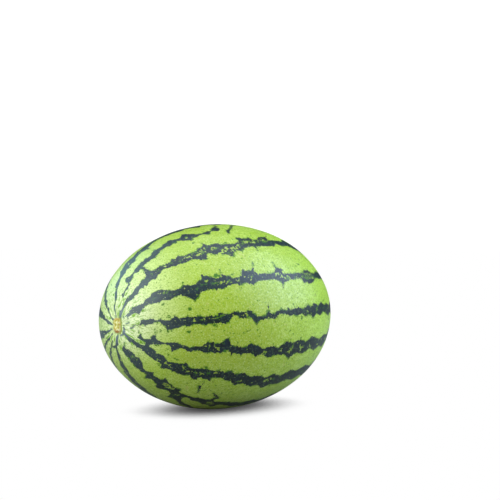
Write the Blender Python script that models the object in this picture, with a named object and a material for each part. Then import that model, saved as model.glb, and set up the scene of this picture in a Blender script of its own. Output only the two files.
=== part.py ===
"""An oblong watermelon lying on its side, as one solid.

X runs along the fruit, with the stem end at -X and the blossom end at +X, and
+Z is up. The origin is the middle of the small flat spot that it rests on.
Units are metres.
"""

import math

import bmesh
import bpy

# The fruit
LENGTH = 0.284  # of the egg shape, before its ends are dimpled
DIAMETER = 0.190  # across the middle
FLATTENING = 0.0014  # how far the round underside is pressed flat where it rests

# The two ends, each a corky scar in a shallow dimple
STEM_DIMPLE_DEPTH = 0.0012
STEM_DIMPLE_RADIUS = 0.016
STEM_SCAR_HEIGHT = 0.0014
STEM_SCAR_RADIUS = 0.0062
BLOSSOM_DIMPLE_DEPTH = 0.0018
BLOSSOM_DIMPLE_RADIUS = 0.012
BLOSSOM_SCAR_HEIGHT = 0.0006
BLOSSOM_SCAR_RADIUS = 0.0040
SCAR_FLAT_TOP = 0.55  # share of a scar's radius that is level before its rounded edge

# How finely the surface is divided
SIDES = 64  # round the fruit
END_RINGS = (0.14, 0.36, 0.60, 0.80, 1.00, 1.30, 1.80, 2.50)  # in scar radii from the axis
HALF_RINGS = 17  # from an end's last ring to the middle
WELD = 0.00001  # points nearer than this are made one

RIND_COLOR = (0.330, 0.460, 0.105, 1.0)
RIND_ROUGHNESS = 0.38

HALF_LENGTH = LENGTH / 2
RADIUS = DIAMETER / 2


def clear_scene():
    for obj in list(bpy.data.objects):
        bpy.data.objects.remove(obj, do_unlink=True)


def rounded_step(share):
    """1 on a scar's level top, falling smoothly to 0 at its rim."""
    if share <= SCAR_FLAT_TOP:
        return 1.0
    if share >= 1.0:
        return 0.0
    return 0.5 + 0.5 * math.cos(math.pi * (share - SCAR_FLAT_TOP) / (1.0 - SCAR_FLAT_TOP))


def end_profile(dimple_depth, dimple_radius, scar_height, scar_radius):
    """(distance from the middle, distance from the axis), from an end's centre to the middle."""
    radii = [0.0] + [ring * scar_radius for ring in END_RINGS]
    first_angle = math.asin(radii[-1] / RADIUS)
    for ring in range(1, HALF_RINGS):
        angle = first_angle + (math.pi / 2 - first_angle) * ring / HALF_RINGS
        radii.append(RADIUS * math.sin(angle))
    points = []
    for radius in radii:
        egg = HALF_LENGTH * math.sqrt(1.0 - (radius / RADIUS) ** 2)
        dimple = dimple_depth * math.exp(-((radius / dimple_radius) ** 2))
        scar = scar_height * rounded_step(radius / scar_radius)
        points.append((egg - dimple + scar, radius))
    return points + [(0.0, RADIUS)]


def half_profile():
    """(x, distance from the axis) from the stem end's centre to the blossom end's."""
    stem = end_profile(
        STEM_DIMPLE_DEPTH, STEM_DIMPLE_RADIUS, STEM_SCAR_HEIGHT, STEM_SCAR_RADIUS
    )
    blossom = end_profile(
        BLOSSOM_DIMPLE_DEPTH, BLOSSOM_DIMPLE_RADIUS, BLOSSOM_SCAR_HEIGHT, BLOSSOM_SCAR_RADIUS
    )
    points = [(-reach, radius) for reach, radius in stem]
    points += [(reach, radius) for reach, radius in reversed(blossom[:-1])]
    box_middle = (min(x for x, _ in points) + max(x for x, _ in points)) / 2
    return [(x - box_middle, radius) for x, radius in points]


def rind_material():
    material = bpy.data.materials.new("rind")
    material.use_nodes = True
    shader = material.node_tree.nodes["Principled BSDF"]
    shader.inputs["Base Color"].default_value = RIND_COLOR
    shader.inputs["Roughness"].default_value = RIND_ROUGHNESS
    shader.inputs["Metallic"].default_value = 0.0
    material.diffuse_color = RIND_COLOR
    return material


def make_watermelon():
    shape = bmesh.new()
    line = [shape.verts.new((x, 0.0, radius)) for x, radius in half_profile()]
    for start, end in zip(line, line[1:]):
        shape.edges.new((start, end))
    bmesh.ops.spin(
        shape,
        geom=shape.verts[:] + shape.edges[:],
        cent=(0.0, 0.0, 0.0),
        axis=(1.0, 0.0, 0.0),
        angle=2 * math.pi,
        steps=SIDES,
    )
    bmesh.ops.remove_doubles(shape, verts=shape.verts, dist=WELD)

    # The resting spot: the round underside cut level, closed with one face, and set at z = 0.
    spot_height = FLATTENING - RADIUS
    bmesh.ops.bisect_plane(
        shape,
        geom=shape.verts[:] + shape.edges[:] + shape.faces[:],
        plane_co=(0.0, 0.0, spot_height),
        plane_no=(0.0, 0.0, -1.0),
        clear_outer=True,
    )
    rim = [edge for edge in shape.edges if edge.is_boundary]
    spot = bmesh.ops.contextual_create(shape, geom=rim)["faces"]
    bmesh.ops.recalc_face_normals(shape, faces=shape.faces)
    bmesh.ops.translate(shape, verts=shape.verts, vec=(0.0, 0.0, -spot_height))
    for face in shape.faces:
        face.smooth = face not in spot

    mesh = bpy.data.meshes.new("watermelon")
    shape.to_mesh(mesh)
    shape.free()
    mesh.materials.append(rind_material())
    watermelon = bpy.data.objects.new("watermelon", mesh)
    bpy.context.scene.collection.objects.link(watermelon)


clear_scene()
make_watermelon()
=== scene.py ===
"""The looks of an oblong striped watermelon that lies on its side."""

import math

import bpy
import numpy as np
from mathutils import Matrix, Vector


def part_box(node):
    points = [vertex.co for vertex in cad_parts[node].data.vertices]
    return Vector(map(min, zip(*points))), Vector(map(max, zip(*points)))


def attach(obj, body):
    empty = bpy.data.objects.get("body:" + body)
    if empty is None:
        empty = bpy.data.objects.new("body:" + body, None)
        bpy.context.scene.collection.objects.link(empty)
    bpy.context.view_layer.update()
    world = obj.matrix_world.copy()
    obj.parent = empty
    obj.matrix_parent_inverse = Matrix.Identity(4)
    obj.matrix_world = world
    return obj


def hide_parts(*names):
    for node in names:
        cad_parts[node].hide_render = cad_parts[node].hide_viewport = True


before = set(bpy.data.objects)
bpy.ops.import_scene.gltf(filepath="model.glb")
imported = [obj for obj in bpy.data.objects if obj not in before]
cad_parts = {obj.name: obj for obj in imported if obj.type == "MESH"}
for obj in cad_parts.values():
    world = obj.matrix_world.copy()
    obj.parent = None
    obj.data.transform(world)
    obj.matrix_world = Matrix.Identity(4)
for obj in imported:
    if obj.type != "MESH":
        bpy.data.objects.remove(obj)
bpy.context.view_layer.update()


# ---------------------------------------------------------------- the rind's shape
# The whole fruit is one grown piece: an egg shape turned about X, with the corky
# scar of its stem in a creased dimple at -X, and a small blossom scar at +X. Its own
# weight presses the underside flat where it lies.

low_corner, high_corner = (Vector(corner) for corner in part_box("watermelon"))
DIAMETER = high_corner.y - low_corner.y
RADIUS = DIAMETER / 2
AXIS_HEIGHT = high_corner.z - RADIUS
HALF_LENGTH = 0.142  # of the egg shape, before its ends are dimpled

SIDES = 384
RINGS = 250
RING_CROWDING = 0.16  # how much closer the rings stand at the two ends

# The stem scar is a rounded oblong. It sits a little to the far side of the axis and
# below it, and the stripes meet there.
SCAR_OFFSIDE = 0.0022
SCAR_DROP = 0.0013
SCAR_HALF_WIDTH = 0.0057
SCAR_HALF_HEIGHT = 0.0073
OFFSET_REACH = 0.035  # the stripes' shift fades out this far from the axis

STEM_DIMPLE_DEPTH = 0.0012
STEM_DIMPLE_RADIUS = 0.016
STEM_SCAR_HEIGHT = 0.0014
SCAR_PIT_DEPTH = 0.0005
SCAR_PIT_SHARE = 0.25  # of the scar's reach
GROOVE_DEPTH = 0.0005  # of the ring round the scar
GROOVE_SHARE = 1.15
GROOVE_WIDTH = 0.18
STEM_CREASES = 14
STEM_CREASE_DEPTH = 0.0007
STEM_CREASE_REACH = 0.019

BLOSSOM_DIMPLE_DEPTH = 0.0018
BLOSSOM_DIMPLE_RADIUS = 0.012
BLOSSOM_SCAR_HEIGHT = 0.0006
BLOSSOM_SCAR_RADIUS = 0.0040
BLOSSOM_CREASES = 9
BLOSSOM_CREASE_DEPTH = 0.0004
BLOSSOM_CREASE_REACH = 0.014


def smooth_step(values, start, end):
    """0 at start, 1 at end, with no kink at either."""
    share = np.clip((values - start) / (end - start), 0.0, 1.0)
    return share * share * (3.0 - 2.0 * share)


def stem_end_relief(radius, around, scar_share):
    """How far the stem end stands out from the egg shape, in metres."""
    dimple = -STEM_DIMPLE_DEPTH * np.exp(-((radius / STEM_DIMPLE_RADIUS) ** 2))
    knobs = 0.85 + 0.22 * np.sin(3 * around + 0.7) * smooth_step(scar_share, 0.1, 0.6)
    scar = STEM_SCAR_HEIGHT * knobs * (1.0 - smooth_step(scar_share, 0.70, 1.02))
    pit = -SCAR_PIT_DEPTH * np.exp(-((scar_share / SCAR_PIT_SHARE) ** 2))
    groove = -GROOVE_DEPTH * np.exp(-(((scar_share - GROOVE_SHARE) / GROOVE_WIDTH) ** 2))
    creases = 0.5 + 0.5 * np.cos(STEM_CREASES * around + 2.0 * np.sin(3 * around))
    creases = -STEM_CREASE_DEPTH * creases**3 * smooth_step(scar_share, 1.0, 1.5)
    creases = creases * np.exp(-((radius / STEM_CREASE_REACH) ** 2))
    return dimple + scar + pit + groove + creases


def blossom_end_relief(radius, around):
    """How far the blossom end stands out from the egg shape, in metres."""
    dimple = -BLOSSOM_DIMPLE_DEPTH * np.exp(-((radius / BLOSSOM_DIMPLE_RADIUS) ** 2))
    rim = BLOSSOM_SCAR_RADIUS
    scar = BLOSSOM_SCAR_HEIGHT * (1.0 - smooth_step(radius, 0.70 * rim, rim))
    creases = 0.5 + 0.5 * np.cos(BLOSSOM_CREASES * around + 1.5 * np.sin(2 * around))
    creases = -BLOSSOM_CREASE_DEPTH * creases**2 * smooth_step(radius, rim, 1.75 * rim)
    return dimple + scar + creases * np.exp(-((radius / BLOSSOM_CREASE_REACH) ** 2))


bpy.ops.object.select_all(action="DESELECT")
bpy.ops.mesh.primitive_uv_sphere_add(
    segments=SIDES,
    ring_count=RINGS,
    radius=1.0,
    rotation=(0.0, -math.pi / 2, 0.0),
)
rind = bpy.context.object
rind.name = "watermelon_rind"
bpy.ops.object.transform_apply(location=False, rotation=True, scale=True)

points = np.empty(len(rind.data.vertices) * 3)
rind.data.vertices.foreach_get("co", points)
points = points.reshape(-1, 3)
along_angle = np.arccos(np.clip(-points[:, 0], -1.0, 1.0))
along_angle -= RING_CROWDING * np.sin(2 * along_angle)
around = np.arctan2(points[:, 2], -points[:, 1])  # 0 faces -Y, 90 degrees is the top
radius = RADIUS * np.sin(along_angle)
stem_side = along_angle < math.pi / 2

offset = stem_side * np.exp(-((radius / OFFSET_REACH) ** 2))
beside_scar = radius * np.cos(around) + SCAR_OFFSIDE * offset
above_scar = radius * np.sin(around) + SCAR_DROP * offset
scar_radius = np.hypot(beside_scar, above_scar)
scar_around = np.arctan2(above_scar, beside_scar)
scar_share = np.abs(beside_scar / SCAR_HALF_WIDTH) ** 3
scar_share = np.cbrt(scar_share + np.abs(above_scar / SCAR_HALF_HEIGHT) ** 3)
FAR_FROM_SCAR = 10.0
scar_share = np.where(stem_side, scar_share, FAR_FROM_SCAR)  # 1 at the scar's edge

relief = np.where(
    stem_side,
    stem_end_relief(scar_radius, scar_around, scar_share),
    blossom_end_relief(radius, around),
)
reach = HALF_LENGTH * np.cos(along_angle) + np.where(stem_side, relief, -relief)
MIDDLE_SHIFT = (reach.max() + reach.min()) / 2  # sets the middle of the length at x = 0
points[:, 0] = MIDDLE_SHIFT - reach
points[:, 1] = -radius * np.cos(around)
points[:, 2] = radius * np.sin(around) + AXIS_HEIGHT
rind.data.vertices.foreach_set("co", points.ravel())

# Slight swells in the rind, all of them inward of the egg shape.
swells = bpy.data.textures.new("swells", "CLOUDS")
swells.noise_scale = 0.055
swells.noise_depth = 1
uneven = rind.modifiers.new("uneven", "DISPLACE")
uneven.texture = swells
uneven.texture_coords = "LOCAL"
uneven.strength = 0.0011
uneven.mid_level = 0.85
bpy.ops.object.modifier_apply(modifier="uneven")

# The part below the surface that it lies on is pressed flat.
for vertex in rind.data.vertices:
    vertex.co.z = max(vertex.co.z, 0.0)
bpy.ops.object.shade_smooth()


# ---------------------------------------------------------------- the stripes
# Dark stripes run from the stem scar towards the blossom scar. Their edges grow as
# round light lobes with dark cusps between them, and small windows of the ground
# colour stand open inside them. Patches of plain green lie beside them.

# Each outline goes along the lower edge, then along the upper edge. A point is the
# share of the way from the stem scar to the blossom scar, and the degrees around the
# fruit: 0 at the front, 90 at the top, -90 underneath.
STRIPES = {
    "back_top": (
        [
            (0.022, 94), (0.030, 98), (0.045, 100.5), (0.058, 104.5), (0.070, 103), (0.080, 102),
            (0.089, 99), (0.095, 100.5),
            (0.112, 104), (0.122, 105.5), (0.131, 104), (0.155, 105.5), (0.169, 103), (0.174, 101),
            (0.179, 103), (0.188, 102.5), (0.194, 98.5), (0.200, 101.5), (0.210, 100.5), (0.219, 97.5),
            (0.228, 100.5), (0.245, 101), (0.257, 100), (0.267, 97.5), (0.270, 93), (0.275, 96.5),
            (0.281, 98), (0.297, 99.5), (0.316, 100), (0.334, 98), (0.353, 95), (0.364, 94),
            (0.379, 91), (0.401, 93.5), (0.409, 91), (0.420, 86), (0.427, 87), (0.438, 90),
            (0.455, 89), (0.480, 84), (0.500, 86), (0.530, 83.5), (0.560, 87), (0.590, 85.5),
            (0.620, 89.5), (0.660, 87), (0.700, 91), (0.740, 89), (0.780, 93.5), (0.830, 92),
            (0.880, 97), (0.940, 96), (1.000, 100),
        ],
        [
            (0.022, 109), (0.030, 107), (0.045, 107.5), (0.058, 110.5), (0.066, 110), (0.071, 106),
            (0.080, 106.5), (0.089, 107.5), (0.106, 110),
            (0.112, 110), (0.114, 107.5), (0.124, 108), (0.126, 111.5), (0.131, 113), (0.141, 113),
            (0.151, 111.5), (0.169, 110), (0.186, 113), (0.195, 114), (0.203, 112.5), (0.210, 113.5),
            (0.219, 112.5), (0.229, 113.5), (0.236, 110), (0.248, 107), (0.269, 108.5), (0.280, 106.5),
            (0.316, 105.5), (0.334, 107), (0.350, 104), (0.390, 104.5), (0.410, 101), (0.440, 102),
            (0.460, 98), (0.490, 96), (0.520, 97.5), (0.560, 94.5), (0.600, 98), (0.640, 96),
            (0.680, 100.5), (0.720, 98), (0.770, 103), (0.820, 101), (0.880, 106), (0.940, 105),
            (1.000, 110),
        ],
    ),
    "top": (
        [
            (0.088, 82), (0.095, 80.5), (0.101, 80.5), (0.106, 82), (0.113, 82.3), (0.120, 79.5),
            (0.126, 81.5), (0.132, 80.5), (0.139, 84), (0.148, 83.3), (0.158, 84), (0.165, 86),
            (0.172, 86), (0.176, 82.5), (0.181, 81), (0.188, 82), (0.191, 79.5), (0.188, 75.5),
            (0.194, 75.5), (0.197, 79), (0.199, 81.5), (0.210, 81.5), (0.221, 79.5), (0.228, 80.5),
            (0.238, 77.5), (0.245, 79), (0.259, 79.3), (0.269, 80.5), (0.290, 80.5), (0.294, 78.5),
            (0.300, 78.5), (0.306, 79.5), (0.311, 77.5), (0.316, 78), (0.321, 80), (0.334, 75),
            (0.342, 73), (0.346, 71), (0.353, 74), (0.362, 73), (0.381, 73.8), (0.390, 72.5),
            (0.399, 71), (0.405, 72.5), (0.412, 74), (0.418, 74), (0.429, 72), (0.438, 73.5),
            (0.445, 76),
        ],
        [
            (0.088, 83.5), (0.094, 85), (0.097, 88.5), (0.102, 88), (0.104, 85.5), (0.113, 85.3),
            (0.132, 83.8), (0.137, 87), (0.139, 92.5), (0.145, 94), (0.150, 94.5), (0.153, 96.5),
            (0.157, 93.5), (0.159, 90), (0.164, 89), (0.172, 88), (0.184, 89), (0.193, 88.3),
            (0.215, 88.3), (0.217, 86.5), (0.228, 87.3), (0.231, 85.5), (0.243, 84), (0.248, 86),
            (0.262, 87), (0.269, 85.5), (0.288, 84.5), (0.295, 86.5), (0.301, 85), (0.308, 86),
            (0.316, 86.5), (0.321, 84), (0.334, 81), (0.344, 82), (0.353, 84.5), (0.357, 84.5),
            (0.364, 81.5), (0.370, 79), (0.375, 76.5), (0.388, 74.7), (0.398, 75.5), (0.407, 75.5),
            (0.412, 74.6), (0.416, 74.8), (0.424, 77), (0.435, 78.5), (0.445, 80),
        ],
    ),
    "upper": (
        [
            (0.022, 46), (0.032, 52), (0.038, 54), (0.044, 58), (0.051, 60.5), (0.061, 61.5),
            (0.072, 61.5), (0.079, 60.8),
            (0.084, 62.5), (0.091, 60.5), (0.098, 58.5), (0.106, 57), (0.109, 58.5), (0.114, 59),
            (0.122, 56.3), (0.129, 58.8), (0.134, 60.3), (0.139, 60), (0.147, 57.6), (0.151, 59.5),
            (0.158, 56.8), (0.165, 58.3), (0.179, 59), (0.186, 55.8), (0.191, 58), (0.207, 58.6),
            (0.217, 60), (0.226, 59.5), (0.233, 57.7), (0.245, 57.3), (0.253, 55.3), (0.255, 56),
            (0.280, 54), (0.291, 54.7), (0.300, 53.5), (0.312, 51.5), (0.317, 50.2), (0.326, 49.3),
            (0.329, 50.3), (0.338, 53.7), (0.343, 54.2), (0.353, 51.2), (0.358, 50), (0.362, 51.3),
            (0.371, 51.5), (0.372, 49.5), (0.381, 48.5), (0.388, 47), (0.391, 45.5), (0.397, 46),
            (0.402, 48.3), (0.416, 49.8), (0.424, 49), (0.429, 48), (0.433, 49.3), (0.449, 51),
            (0.500, 50.6), (0.541, 50.8), (0.546, 51.5), (0.552, 53), (0.561, 53.3), (0.579, 52),
            (0.588, 52.8), (0.606, 54), (0.641, 53), (0.660, 53.5), (0.680, 52), (0.700, 54.5),
            (0.730, 53.8), (0.745, 56), (0.780, 55.2), (0.800, 57), (0.830, 56), (0.860, 58.5),
            (0.900, 57.5), (0.940, 60), (1.000, 60),
        ],
        [
            (0.022, 76), (0.031, 72), (0.040, 73.5), (0.045, 77), (0.048, 76.5), (0.051, 72.5),
            (0.054, 69.5), (0.062, 69.5), (0.072, 70), (0.087, 70.5), (0.093, 70.8),
            (0.098, 68), (0.103, 68.6), (0.112, 66), (0.127, 67.5),
            (0.138, 67.5), (0.141, 66), (0.158, 68.5), (0.167, 66.5), (0.176, 67.5), (0.179, 70),
            (0.183, 73), (0.188, 76.5), (0.193, 76), (0.194, 71), (0.196, 69), (0.203, 66),
            (0.214, 65.5), (0.222, 65.8), (0.228, 63.8), (0.247, 62.3), (0.252, 63), (0.257, 64.5),
            (0.262, 62.5), (0.266, 61.8), (0.276, 64.3), (0.282, 62), (0.288, 60.3), (0.308, 60),
            (0.315, 59.3), (0.324, 60.5), (0.331, 61.2), (0.345, 61), (0.350, 63), (0.353, 64.5),
            (0.357, 63), (0.359, 60.8), (0.379, 60), (0.385, 59.3), (0.391, 57.5), (0.398, 56.7),
            (0.407, 57), (0.416, 56), (0.426, 55.4), (0.433, 55.8), (0.440, 57), (0.445, 58),
            (0.443, 60), (0.449, 61.3), (0.456, 60.3), (0.459, 59.3), (0.473, 58.8), (0.476, 59.5),
            (0.483, 59.8), (0.487, 57.7), (0.502, 57), (0.507, 58), (0.513, 59.5), (0.525, 60.2),
            (0.541, 60.3), (0.543, 58), (0.546, 57), (0.570, 57.5), (0.589, 58.2), (0.595, 57.5),
            (0.606, 60), (0.613, 61.3), (0.624, 63), (0.634, 62), (0.650, 62.5), (0.665, 60.5),
            (0.690, 63), (0.710, 61), (0.740, 64.5), (0.760, 62.5), (0.800, 65), (0.830, 63),
            (0.870, 67), (0.910, 66), (0.950, 69), (1.000, 72),
        ],
    ),
    "front_upper": (
        [
            (0.048, 37.5), (0.055, 36), (0.058, 34), (0.061, 31.5), (0.066, 30.5), (0.079, 31),
            (0.086, 29.5), (0.091, 27.5), (0.094, 24), (0.096, 22.8), (0.098, 25), (0.105, 27.5),
            (0.108, 29), (0.117, 30.5), (0.122, 32.5), (0.131, 32.3), (0.139, 30.8), (0.155, 29.5),
            (0.161, 28), (0.164, 29.5), (0.170, 30), (0.184, 27.7), (0.191, 27), (0.195, 28.3),
            (0.219, 28.7), (0.226, 27.5), (0.233, 25), (0.240, 24), (0.243, 22.5), (0.248, 21.2),
            (0.252, 20.3), (0.254, 21.3), (0.261, 22.5), (0.267, 24.3), (0.273, 26.2), (0.295, 26.3),
            (0.307, 25.6), (0.310, 24.7), (0.315, 25.8), (0.329, 24.5), (0.338, 25.5), (0.346, 26.3),
            (0.357, 27), (0.367, 26.3), (0.372, 25), (0.379, 25), (0.385, 26), (0.398, 25.5),
            (0.405, 24.5), (0.411, 23.8), (0.417, 24.8), (0.424, 26), (0.478, 26), (0.494, 24.2),
            (0.499, 22), (0.501, 22.3), (0.505, 24), (0.519, 24.3), (0.525, 25.5), (0.539, 25.3),
            (0.543, 24.5), (0.548, 25.8), (0.577, 26.3), (0.579, 24), (0.586, 22.6), (0.589, 24),
            (0.598, 23.8), (0.602, 22.7), (0.611, 23.3), (0.633, 25), (0.641, 26), (0.649, 27.5),
            (0.659, 28.3), (0.695, 29.5), (0.713, 30.5), (0.731, 32), (0.760, 31), (0.785, 33),
            (0.820, 31.5), (0.850, 34), (0.900, 32.5), (0.940, 35), (1.000, 36),
        ],
        [
            (0.048, 40.5), (0.056, 41.2), (0.060, 42.5), (0.063, 40.8), (0.068, 39.5), (0.072, 44.5),
            (0.077, 42.5), (0.080, 43), (0.084, 46), (0.089, 43.5), (0.106, 39.8), (0.119, 38),
            (0.122, 38.5), (0.126, 40), (0.130, 41.8), (0.133, 41), (0.148, 41.2), (0.151, 43.3),
            (0.158, 43.6), (0.176, 42.3), (0.183, 41), (0.184, 39.8), (0.200, 36.5), (0.210, 34.8),
            (0.228, 34.5), (0.236, 36.5), (0.245, 35), (0.257, 33.5), (0.269, 33), (0.273, 35),
            (0.284, 35.2), (0.289, 37.5), (0.294, 39.8), (0.296, 37.8), (0.310, 35.3), (0.315, 34),
            (0.321, 32.8), (0.336, 33), (0.337, 36), (0.340, 38.5), (0.342, 33.7), (0.350, 32.8),
            (0.354, 33.2), (0.358, 32), (0.360, 30.4), (0.371, 30.2), (0.385, 30.5), (0.388, 32),
            (0.391, 34), (0.397, 35), (0.402, 33.5), (0.419, 33.4), (0.423, 34.3), (0.425, 32),
            (0.433, 30.1), (0.450, 30.3), (0.468, 29.8), (0.485, 30.5), (0.490, 32), (0.495, 33.5),
            (0.499, 33), (0.512, 32.4), (0.509, 30.5), (0.513, 29), (0.534, 29.3), (0.561, 30),
            (0.580, 30), (0.593, 30.5), (0.597, 31.5), (0.604, 32.5), (0.629, 33.8), (0.634, 32.5),
            (0.640, 31.8), (0.659, 32), (0.667, 33.3), (0.686, 35), (0.713, 37), (0.730, 38.5),
            (0.750, 37), (0.790, 40), (0.820, 38), (0.860, 42), (0.900, 40), (0.950, 43.5),
            (1.000, 44),
        ],
    ),
    "front": (
        [
            (0.095, 4), (0.105, 3), (0.108, 0), (0.112, 2.5), (0.118, 3.5), (0.125, 3), (0.132, 4),
            (0.136, 5.5), (0.150, 6), (0.154, 3.5), (0.160, 1.5), (0.166, 0), (0.168, -3.5),
            (0.172, -4.3), (0.182, -4.2), (0.187, -2.8), (0.205, -1), (0.214, 0.5), (0.219, 0.8),
            (0.221, -0.7), (0.230, -0.5), (0.236, 1.2), (0.255, 1.3), (0.270, 0), (0.275, 1.2),
            (0.299, 1.2), (0.306, 2), (0.312, 1.5), (0.321, 0.5), (0.326, 1.2), (0.331, 3),
            (0.336, 4.8), (0.340, 6), (0.351, 6), (0.355, 4.7), (0.362, 3.6), (0.379, 4.3),
            (0.388, 3.5), (0.393, 2), (0.398, 1), (0.400, -1), (0.404, 0.8), (0.409, 1.8),
            (0.427, 2.8), (0.450, 2.5), (0.460, 2.2), (0.462, 4.3), (0.474, 5), (0.492, 4.3),
            (0.499, 3.2), (0.515, 4.2), (0.530, 2.5), (0.545, 4), (0.565, 2), (0.580, 3.5),
            (0.600, 0.5), (0.615, 3), (0.640, 1.5), (0.660, 4), (0.690, 2), (0.710, -0.5),
            (0.725, 2.5), (0.760, 1), (0.790, 3), (0.820, 0), (0.860, 2.5), (0.900, 1),
            (0.950, 3), (1.000, 2),
        ],
        [
            (0.095, 9), (0.097, 12), (0.106, 12.3), (0.112, 10.5), (0.120, 11), (0.125, 11.8),
            (0.131, 10.8), (0.138, 8.3), (0.150, 8), (0.153, 10), (0.158, 7.5), (0.165, 6.5),
            (0.180, 6.3), (0.182, 8), (0.188, 8.5), (0.192, 10.8), (0.196, 9), (0.200, 7.5),
            (0.220, 7), (0.226, 8.5), (0.243, 7.3), (0.250, 8.2), (0.258, 7.5), (0.270, 6.6),
            (0.284, 7.3), (0.293, 6.5), (0.302, 7), (0.304, 8.8), (0.314, 9), (0.316, 7.5),
            (0.334, 7.3), (0.342, 8.2), (0.353, 8.7), (0.357, 8), (0.370, 7.5), (0.379, 8.5),
            (0.386, 8.2), (0.392, 7), (0.398, 5.8), (0.402, 4.5), (0.418, 4), (0.433, 5.5),
            (0.435, 8), (0.437, 11.5), (0.438, 7.5), (0.443, 5.3), (0.453, 5), (0.457, 6),
            (0.477, 7.8), (0.489, 6.5), (0.496, 7), (0.500, 8.3), (0.505, 6.8), (0.540, 7.8),
            (0.555, 6.5), (0.575, 9), (0.590, 7.5), (0.610, 10), (0.630, 8), (0.650, 11),
            (0.670, 8.5), (0.700, 10), (0.720, 8), (0.750, 11.5), (0.780, 9), (0.810, 11),
            (0.850, 9), (0.900, 12), (0.950, 10.5), (1.000, 12),
        ],
    ),
    "front_lower": (
        [
            (0.088, -24), (0.104, -26.5), (0.110, -26), (0.116, -27), (0.118, -33.5), (0.128, -33.5),
            (0.131, -28.5), (0.135, -26), (0.142, -24.8), (0.158, -23.3), (0.163, -22), (0.170, -21),
            (0.180, -20.8), (0.187, -22), (0.190, -24), (0.194, -26.8), (0.200, -25), (0.207, -23),
            (0.215, -21), (0.224, -21), (0.238, -23), (0.245, -21.3), (0.265, -20.5), (0.282, -21.5),
            (0.288, -20.3), (0.320, -20), (0.321, -18.5), (0.334, -17.5), (0.344, -19), (0.347, -22),
            (0.351, -19), (0.370, -20.5), (0.379, -19), (0.395, -18.5), (0.410, -21), (0.425, -19),
            (0.450, -22), (0.470, -20), (0.500, -20.5), (0.520, -24), (0.540, -20.5), (0.575, -22),
            (0.600, -19.5), (0.630, -23), (0.660, -21), (0.690, -24.5), (0.720, -21.5), (0.770, -23.5),
            (0.800, -21), (0.850, -24), (0.900, -23), (0.950, -26), (1.000, -26),
        ],
        [
            (0.088, -22), (0.092, -20), (0.094, -14.3), (0.098, -14.5), (0.100, -18), (0.103, -20),
            (0.107, -22.5), (0.111, -22), (0.128, -19), (0.129, -15), (0.133, -13), (0.139, -10.5),
            (0.141, -12), (0.142, -16), (0.147, -17.5), (0.159, -19.7), (0.173, -18.7), (0.180, -17.8),
            (0.200, -16.3), (0.208, -17), (0.217, -18.3), (0.225, -17.5), (0.232, -19), (0.240, -18.6),
            (0.250, -17), (0.260, -17), (0.267, -16), (0.274, -15), (0.276, -11.5), (0.279, -12.5),
            (0.288, -13.3), (0.293, -12), (0.296, -13.5), (0.305, -13.3), (0.314, -12.3), (0.319, -10.5),
            (0.325, -9.8), (0.329, -8.3), (0.332, -9.5), (0.334, -12), (0.340, -13.5), (0.360, -14.7),
            (0.379, -15), (0.382, -13.2), (0.390, -12.7), (0.392, -11.7), (0.394, -13), (0.410, -13.5),
            (0.430, -16), (0.450, -14.5), (0.475, -15.5), (0.495, -12), (0.520, -13.5), (0.550, -12),
            (0.575, -14.5), (0.600, -11.5), (0.630, -14), (0.650, -15.5), (0.680, -13.5), (0.710, -15.5),
            (0.740, -12), (0.780, -14), (0.820, -11.5), (0.860, -15), (0.900, -13.5), (0.950, -16),
            (1.000, -15),
        ],
    ),
    "low": (
        [
            (0.037, -47), (0.046, -44), (0.050, -45), (0.055, -44), (0.060, -47),
            (0.070, -47.5), (0.075, -46.5),
            (0.080, -42), (0.089, -44.3), (0.093, -42), (0.100, -45.5), (0.105, -42), (0.115, -41),
            (0.119, -43), (0.124, -42), (0.131, -44), (0.149, -44.8), (0.167, -45.3), (0.170, -44.5),
            (0.186, -46), (0.189, -49), (0.193, -50.7), (0.198, -48.8), (0.205, -47), (0.214, -46),
            (0.221, -47), (0.228, -46), (0.235, -46.8), (0.252, -45.5), (0.262, -43.8), (0.267, -43.3),
            (0.280, -46.5), (0.286, -45.5), (0.291, -42.7), (0.297, -42.3), (0.300, -43.5), (0.311, -42.5),
            (0.324, -43), (0.321, -40.5), (0.332, -39.3), (0.350, -38.7), (0.360, -41), (0.375, -40),
            (0.390, -43.5), (0.410, -41), (0.440, -43.5), (0.460, -42), (0.480, -46), (0.500, -43),
            (0.530, -44), (0.560, -41.5), (0.590, -44.5), (0.620, -43), (0.650, -47), (0.690, -45),
            (0.720, -49.5), (0.750, -46), (0.800, -48), (0.840, -45.5), (0.880, -49), (0.930, -47),
            (1.000, -50),
        ],
        [
            (0.037, -28), (0.046, -32), (0.052, -32.5), (0.063, -33), (0.070, -33.5), (0.080, -33.5),
            (0.088, -34.8), (0.100, -33.2), (0.103, -34.5), (0.114, -33), (0.131, -31.5), (0.141, -31.5),
            (0.155, -34), (0.158, -36), (0.164, -34.5), (0.181, -34.8), (0.186, -36.5), (0.193, -38.5),
            (0.198, -39), (0.207, -37.5), (0.226, -36.3), (0.233, -35.5), (0.238, -33.5), (0.241, -32.5),
            (0.245, -34), (0.250, -36.3), (0.262, -37), (0.273, -36), (0.280, -35), (0.286, -34),
            (0.309, -34), (0.324, -34.5), (0.329, -32), (0.333, -33.5), (0.345, -34), (0.360, -32),
            (0.375, -34.5), (0.400, -33), (0.420, -35.5), (0.450, -34.5), (0.470, -37), (0.490, -34),
            (0.520, -36.5), (0.550, -33), (0.580, -35.5), (0.620, -34), (0.660, -38.5), (0.700, -37),
            (0.730, -39), (0.770, -36.5), (0.820, -38.5), (0.860, -36), (0.900, -40), (0.950, -38.5),
            (1.000, -41),
        ],
    ),
    "lower": (
        [
            (0.072, -78), (0.077, -82), (0.081, -84), (0.089, -83), (0.094, -81), (0.106, -80),
            (0.110, -77), (0.119, -76), (0.124, -79), (0.131, -76.5), (0.151, -76), (0.158, -73.5),
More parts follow.
